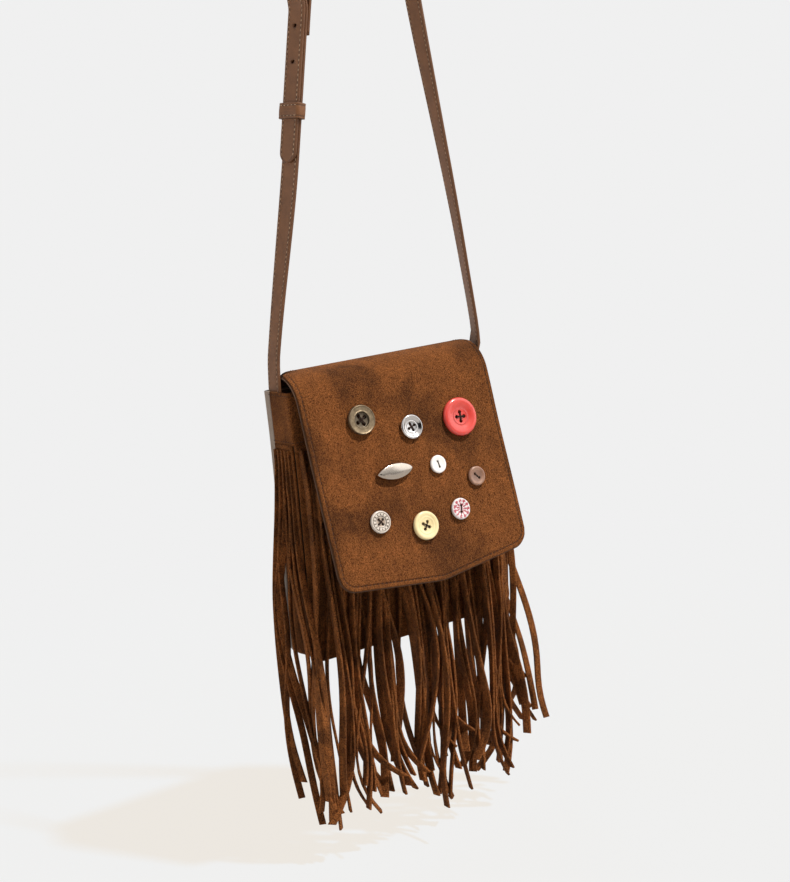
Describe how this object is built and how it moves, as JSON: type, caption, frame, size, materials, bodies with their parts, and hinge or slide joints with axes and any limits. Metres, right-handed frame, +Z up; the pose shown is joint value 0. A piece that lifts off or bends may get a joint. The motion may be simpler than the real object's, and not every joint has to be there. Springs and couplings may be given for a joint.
{
  "type": "fringed suede bag",
  "caption": "Small crossbody pouch in brown suede with long fringe, a flap decorated with sewn buttons, and an adjustable buckled strap.",
  "frame": {"origin": "underside of the strap's crown, where the bag hangs over a peg, hook or shoulder", "axes": "+Z up, -Y out of the front with the flap and buttons, +X to the right as the front is looked at"},
  "size_m": [0.1778, 0.0833, 0.8298],
  "materials": {
    "brown_suede": "napped suede",
    "flap_backing": "smooth, matt",
    "back_leather": "smooth, matt",
    "strap_leather": "smooth, soft sheen, stitched edges",
    "lining_cloth": "plain cotton",
    "aged_brass": "aged",
    "polished_steel": "polished, worn",
    "red_button": "gloss",
    "white_button": "gloss",
    "taupe_button": "gloss",
    "ringed_button": "satin, bronze rings",
    "cream_button": "gloss",
    "pink_button": "gloss, mottled",
    "dark_thread": "twisted thread"
  },
  "bodies": {
    "pouch": {"back_panel": "back_leather", "front_panel": "brown_suede", "gusset": "brown_suede", "yoke": "brown_suede", "lining": "lining_cloth", "fringe_outer": "brown_suede", "fringe_inner": "brown_suede", "fringe_left": "brown_suede", "fringe_right": "brown_suede", "strap_long": "strap_leather", "strap_short": "strap_leather", "buckle": "aged_brass", "buckle_prong": "aged_brass"},
    "crown": {"flap_crown": "brown_suede", "flap_crown_backing": "flap_backing"},
    "flap": {"flap": "brown_suede", "flap_backing": "flap_backing", "button_brass": "aged_brass", "button_steel": "polished_steel", "button_red": "red_button", "button_white": "white_button", "button_taupe": "taupe_button", "button_ringed": "ringed_button", "button_cream": "cream_button", "button_pink": "pink_button", "stud_oval": "polished_steel", "thread_brass": "dark_thread", "thread_steel": "dark_thread", "thread_red": "dark_thread", "thread_white": "dark_thread", "thread_taupe": "dark_thread", "thread_ringed": "dark_thread", "thread_cream": "dark_thread", "thread_pink": "dark_thread"},
    "keeper": {"strap_keeper": "strap_leather"}
  },
  "joints": [
    {"name": "crown_lift", "type": "hinge", "parent": "pouch", "child": "crown", "pos_m": [-0.0356, 0.017, -0.5074], "axis": [-1, 0, 0], "range_deg": [0, 21]},
    {"name": "flap_open", "type": "hinge", "parent": "crown", "child": "flap", "pos_m": [-0.0356, -0.03422, -0.51472], "axis": [-1, 0, 0], "range_deg": [0, 140]},
    {"name": "keeper_slide", "type": "slide", "parent": "pouch", "child": "keeper", "axis": [0.2059, 0, 0.9786], "range_m": [-0.02, 0.024]}
  ],
  "couplings": [
    {"joint": "crown_lift", "follows": "flap_open", "ratio": 0.15}
  ]
}
